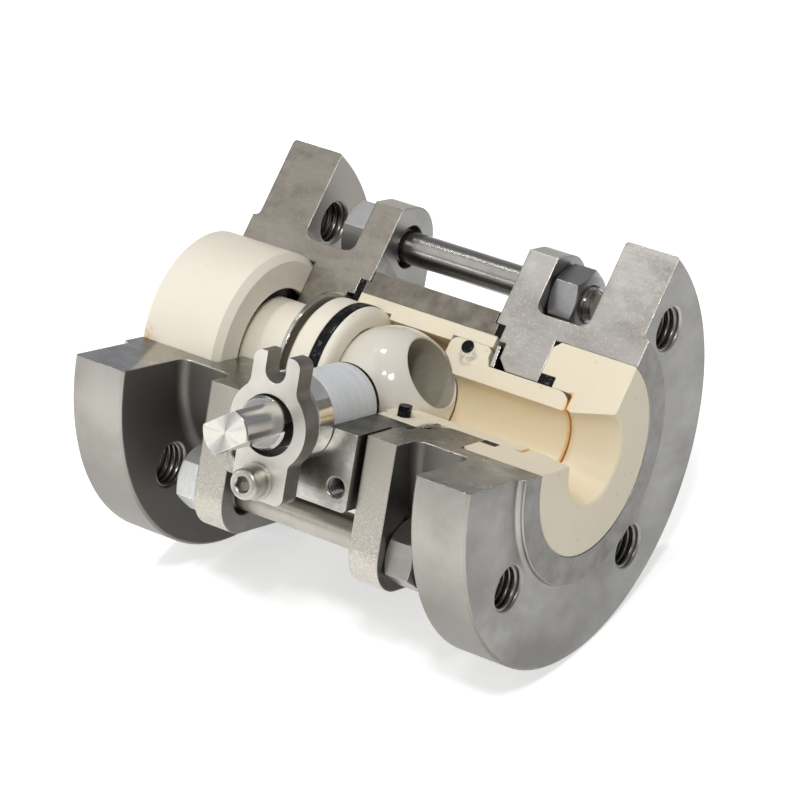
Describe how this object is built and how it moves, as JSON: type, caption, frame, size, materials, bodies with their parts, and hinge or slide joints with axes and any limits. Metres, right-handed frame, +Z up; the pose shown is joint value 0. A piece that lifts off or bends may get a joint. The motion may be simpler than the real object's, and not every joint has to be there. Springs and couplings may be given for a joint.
{
  "type": "lined ball valve, cutaway display model",
  "caption": "Flanged ball valve with ceramic liners, seats and ball, cut open so that the turning ball, stem packing and tie rods can be seen.",
  "frame": {"origin": "on the pipe axis at the centre of the ball", "axes": "+X along the pipe axis towards the cut-open liner, +Z up with the valve lying on its two flange rims, stem towards -Y and 20.6 degrees up"},
  "size_m": [0.127, 0.1299, 0.0946],
  "materials": {
    "body_steel": "machined and bead blasted stainless steel",
    "polished_steel": "turned and polished stainless steel",
    "satin_steel": "satin stainless steel",
    "fastener_steel": "stainless steel nuts",
    "spring_steel": "spring steel",
    "alumina": "ground ivory alumina ceramic",
    "glazed_ball": "lapped glossy ceramic",
    "packing_white": "white fluoropolymer packing",
    "seal_rubber": "black elastomer"
  },
  "bodies": {
    "valve_body": {"left_end_body": "body_steel", "right_end_body": "body_steel", "centre_body": "body_steel", "body_liner": "alumina", "left_end_liner": "alumina", "right_end_liner": "alumina", "left_seat": "alumina", "right_seat": "alumina", "packing_ring_1": "packing_white", "packing_ring_2": "packing_white", "packing_ring_3": "packing_white", "packing_ring_4": "packing_white", "packing_ring_5": "packing_white", "stem_seal": "seal_rubber", "gland_ring": "polished_steel", "gland_plate": "satin_steel", "gland_washer": "polished_steel", "gland_screw": "polished_steel", "left_disc_spring": "spring_steel", "right_disc_spring": "spring_steel", "left_seat_seal": "seal_rubber", "right_seat_seal": "seal_rubber", "left_neck_seal": "seal_rubber", "right_neck_seal": "seal_rubber", "left_body_gasket": "seal_rubber", "right_body_gasket": "seal_rubber", "upper_tie_rod": "polished_steel", "front_tie_rod": "polished_steel", "rear_tie_rod": "polished_steel", "upper_left_nut": "fastener_steel", "upper_right_nut": "fastener_steel", "front_left_nut": "fastener_steel", "front_right_nut": "fastener_steel", "rear_left_nut": "fastener_steel", "rear_right_nut": "fastener_steel"},
    "stem_and_ball": {"stem": "polished_steel", "ball": "glazed_ball"}
  },
  "joints": [
    {"name": "stem_turn", "type": "hinge", "parent": "valve_body", "child": "stem_and_ball", "pos_m": [0, 0, 0], "axis": [0, -0.9361, 0.3518], "range_deg": [-35, 55]}
  ]
}
